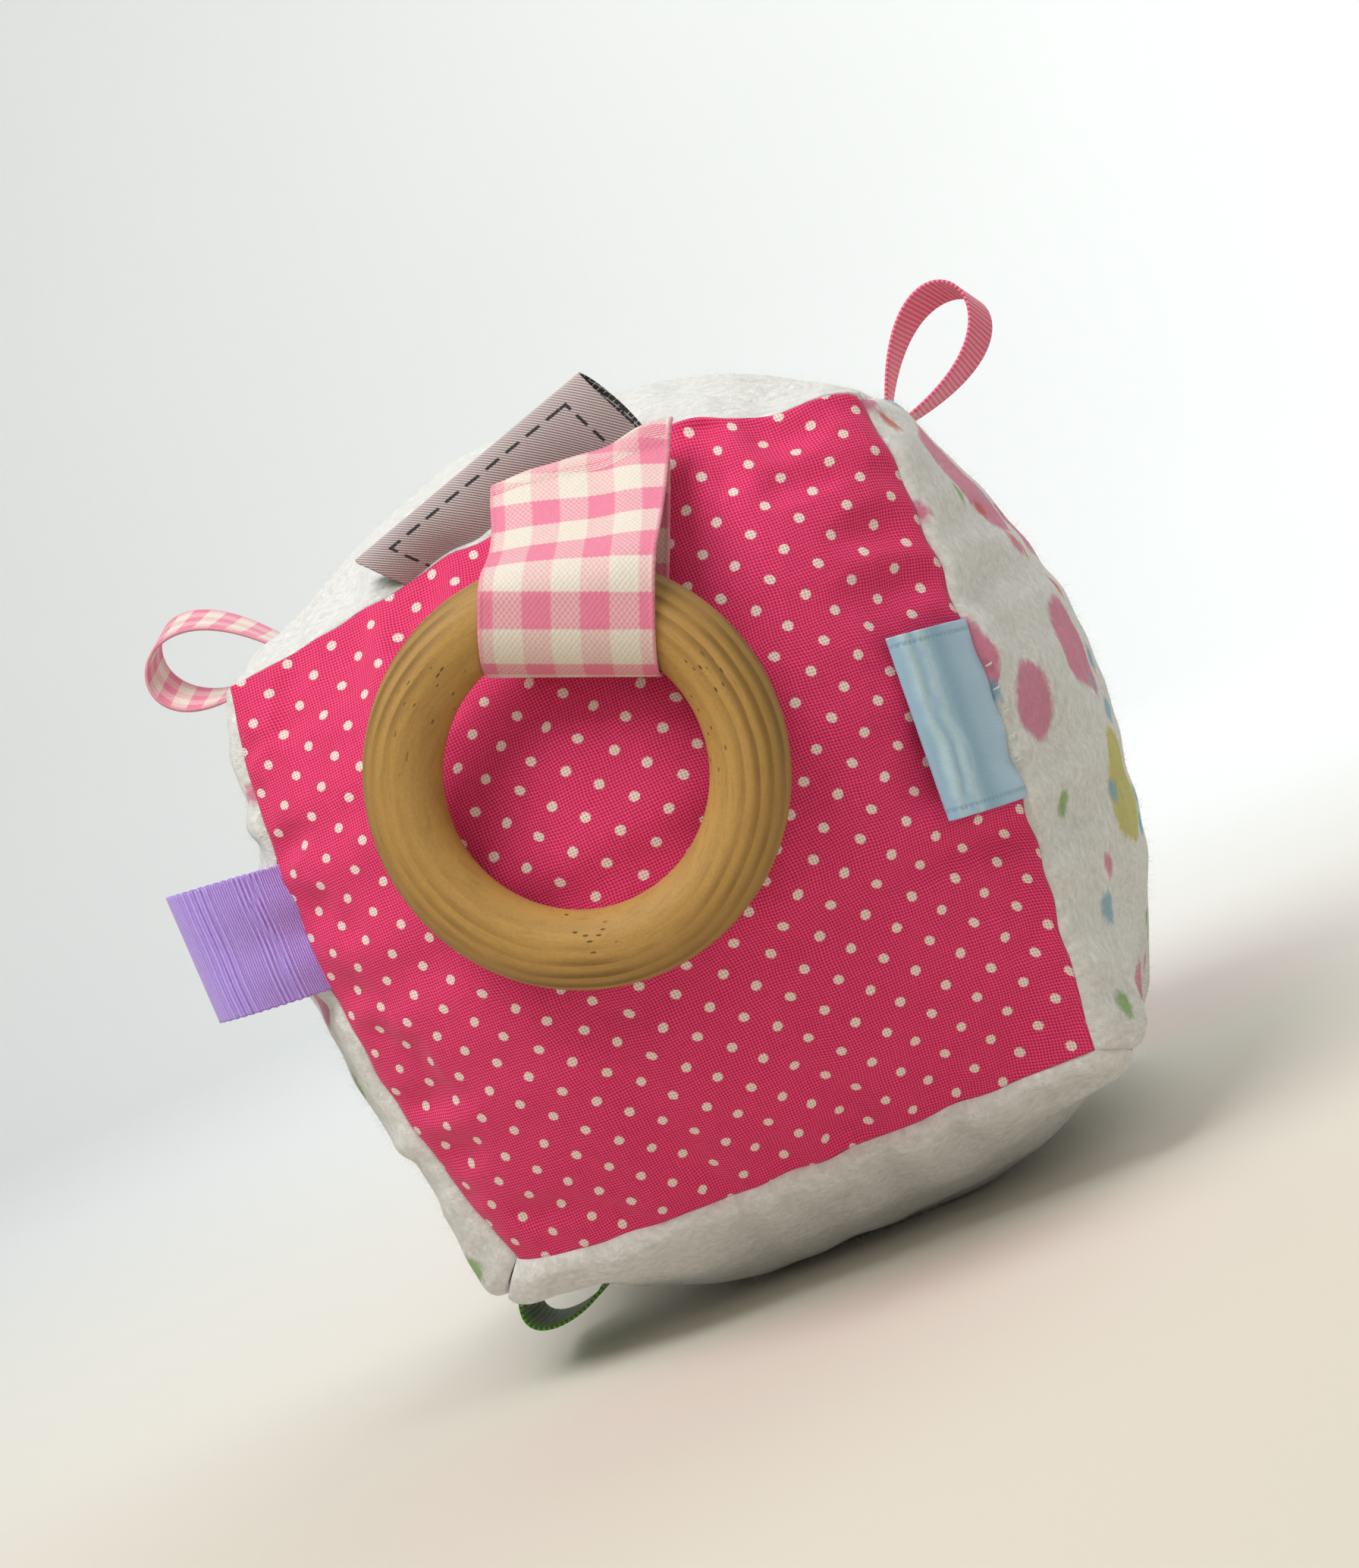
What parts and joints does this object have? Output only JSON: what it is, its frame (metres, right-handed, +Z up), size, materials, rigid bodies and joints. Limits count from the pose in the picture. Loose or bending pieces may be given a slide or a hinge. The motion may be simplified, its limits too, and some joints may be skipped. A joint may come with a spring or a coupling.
{
  "type": "soft fabric block",
  "caption": "Stuffed fabric baby block with bulging sewn panels, ribbon loops and tabs in its seams, a folded label, and a wooden ring hung on a ribbon loop.",
  "frame": {"origin": "middle of the flat patch under the bottom panel, on which the block rests", "axes": "+Z up, away from the bottom panel; the dotted front panel with the ring faces -Y; +X to the right seen from the front"},
  "size_m": [0.1425, 0.1456, 0.134],
  "materials": {
    "dotted_cotton": "hot pink plain-weave cotton with white pin dots",
    "plain_flannel": "warm white brushed flannel",
    "printed_flannel": "white brushed flannel with soft coloured blots",
    "stuffing": "loose polyester fibre",
    "wood": "turned and smoothed, unvarnished satin",
    "gingham": "pink and white checked ribbon",
    "twill": "grey-mauve woven twill",
    "purple_grosgrain": "ribbed matte ribbon",
    "blue_satin": "satin ribbon",
    "pink_grosgrain": "ribbed matte ribbon",
    "green_grosgrain": "ribbed matte ribbon",
    "thread": "white sewing thread"
  },
  "bodies": {
    "block": {"front_panel": "dotted_cotton", "back_panel": "dotted_cotton", "left_panel": "printed_flannel", "right_panel": "printed_flannel", "bottom_panel": "plain_flannel", "top_panel": "plain_flannel", "polyester_fill": "stuffing", "closing_stitch_1": "thread", "closing_stitch_2": "thread", "closing_stitch_3": "thread", "closing_stitch_4": "thread", "closing_stitch_5": "thread"},
    "ring_hanger": {"ring_ribbon": "gingham"},
    "ring": {"wooden_ring": "wood"},
    "label": {"woven_label": "twill"},
    "purple_loop": {"purple_tab": "purple_grosgrain"},
    "blue_loop": {"blue_satin_tab": "blue_satin"},
    "pink_ribbon": {"pink_loop": "pink_grosgrain"},
    "gingham_ribbon": {"gingham_loop": "gingham"},
    "green_ribbon": {"green_loop": "green_grosgrain"}
  },
  "joints": [
    {"name": "ring_ribbon_lift", "type": "hinge", "parent": "block", "child": "ring_hanger", "pos_m": [0.00952, -0.05762, 0.11789], "axis": [-0.9983, 0.0296, -0.0493], "range_deg": [0, 60]},
    {"name": "ring_spin", "type": "hinge", "parent": "ring_hanger", "child": "ring", "pos_m": [-0.00512, -0.07789, 0.08088], "axis": [0, 1, 0], "continuous": true},
    {"name": "label_flap", "type": "hinge", "parent": "block", "child": "label", "pos_m": [-0.00212, -0.05525, 0.11782], "axis": [0.9903, 0.0035, 0.1389], "range_deg": [-35, 15], "stiffness_Nm_per_rad": 0.0005},
    {"name": "purple_tab_flap", "type": "hinge", "parent": "block", "child": "purple_loop", "pos_m": [-0.05443, -0.05555, 0.07588], "axis": [-0.009, -0.0091, 0.9999], "range_deg": [-35, 60], "stiffness_Nm_per_rad": 0.0005},
    {"name": "blue_tab_lift", "type": "hinge", "parent": "block", "child": "blue_loop", "pos_m": [0.04725, -0.05418, 0.06712], "axis": [0.0555, -0.0445, 0.9975], "range_deg": [0, 80], "stiffness_Nm_per_rad": 0.0005},
    {"name": "pink_loop_flap", "type": "hinge", "parent": "block", "child": "pink_ribbon", "pos_m": [0.04686, 0.02763, 0.11513], "axis": [-0.0127, 0.9992, -0.037], "range_deg": [-45, 45], "stiffness_Nm_per_rad": 0.0005},
    {"name": "gingham_loop_flap", "type": "hinge", "parent": "block", "child": "gingham_ribbon", "pos_m": [-0.05252, -0.01271, 0.11599], "axis": [-0.0022, 0.9982, 0.0604], "range_deg": [-25, 50], "stiffness_Nm_per_rad": 0.0005},
    {"name": "green_loop_flap", "type": "hinge", "parent": "block", "child": "green_ribbon", "pos_m": [-0.04803, -0.02757, 0.01637], "axis": [-0.087, 0.9886, -0.1226], "range_deg": [0, 60], "stiffness_Nm_per_rad": 0.0005}
  ]
}
